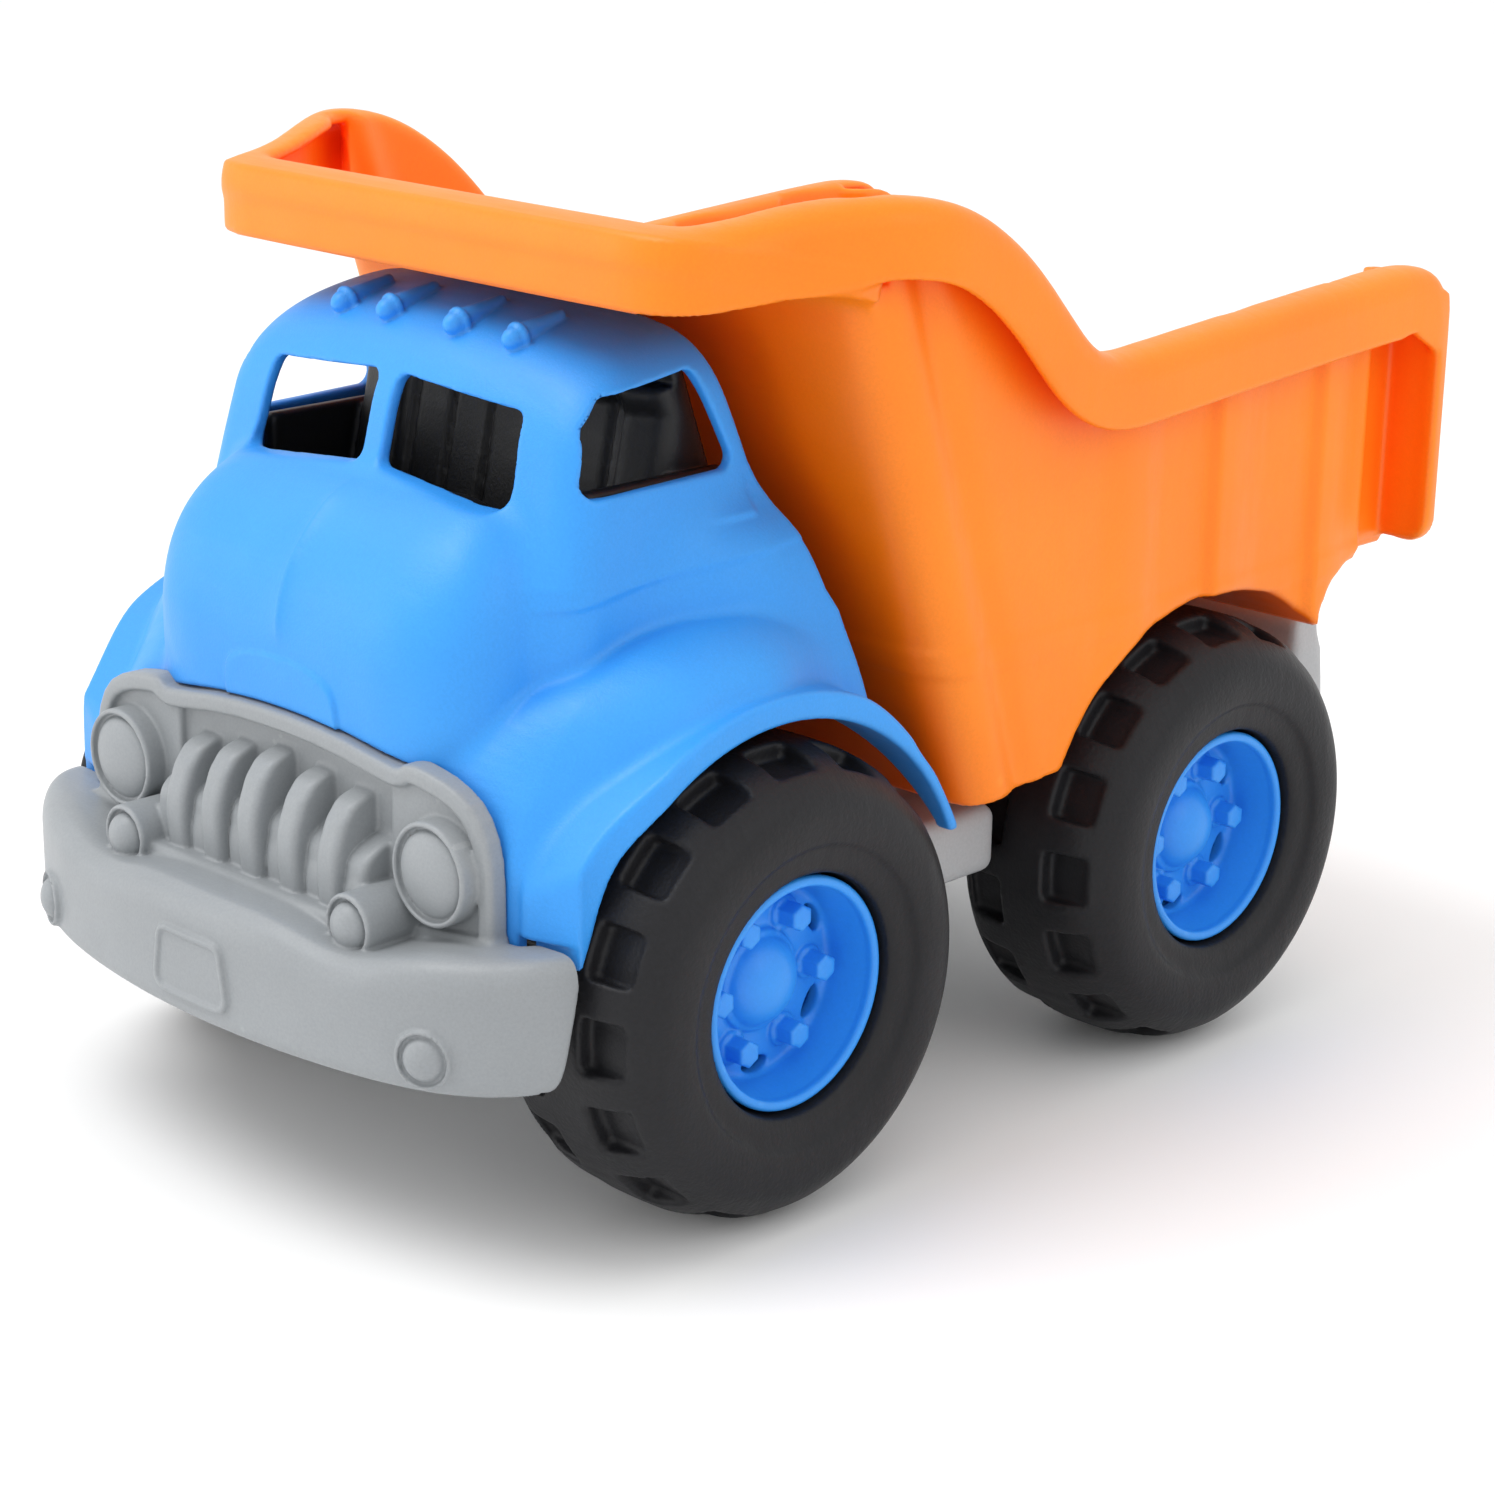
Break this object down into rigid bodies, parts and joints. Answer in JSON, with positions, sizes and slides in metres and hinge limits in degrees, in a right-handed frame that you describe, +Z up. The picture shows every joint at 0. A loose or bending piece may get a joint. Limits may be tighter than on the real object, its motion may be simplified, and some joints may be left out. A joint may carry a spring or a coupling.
{
  "type": "toy dump truck",
  "caption": "Blue and orange plastic toy dump truck with a grey grille and bumper, a tipping bed and free-rolling black wheels.",
  "frame": {"origin": "on the floor, under the middle of the truck's outline", "axes": "+Y towards the tail, +Z up, +X to the side of the truck seen from the front right"},
  "size_m": [0.1746, 0.2719, 0.1878],
  "materials": {
    "blue_plastic": "satin",
    "hub_plastic": "satin",
    "grey_plastic": "satin",
    "chassis_plastic": "satin",
    "orange_plastic": "satin",
    "black_plastic": "satin",
    "tyre_plastic": "fine pebble texture",
    "axle_plastic": "satin"
  },
  "bodies": {
    "truck": {"chassis": "chassis_plastic", "cab_shell": "blue_plastic", "grille_bumper": "grey_plastic", "cab_interior": "black_plastic", "bed_hinge_pin": "axle_plastic"},
    "bed": {"dump_bed": "orange_plastic"},
    "front_wheels": {"front_axle": "axle_plastic", "tyre_front_left": "tyre_plastic", "tyre_front_right": "tyre_plastic", "hub_front_left": "hub_plastic", "hub_front_right": "hub_plastic", "wheel_back_front_left": "black_plastic", "wheel_back_front_right": "black_plastic"},
    "rear_wheels": {"rear_axle": "axle_plastic", "tyre_rear_left": "tyre_plastic", "tyre_rear_right": "tyre_plastic", "hub_rear_left": "hub_plastic", "hub_rear_right": "hub_plastic", "wheel_back_rear_left": "black_plastic", "wheel_back_rear_right": "black_plastic"}
  },
  "joints": [
    {"name": "bed_tilt", "type": "hinge", "parent": "truck", "child": "bed", "pos_m": [0, 0.1164, 0.084], "axis": [-1, 0, 0], "range_deg": [0, 50]},
    {"name": "front_axle_spin", "type": "hinge", "parent": "truck", "child": "front_wheels", "pos_m": [0, -0.0606, 0.0455], "axis": [1, 0, 0], "continuous": true},
    {"name": "rear_axle_spin", "type": "hinge", "parent": "truck", "child": "rear_wheels", "pos_m": [0, 0.0659, 0.0455], "axis": [1, 0, 0], "continuous": true}
  ]
}
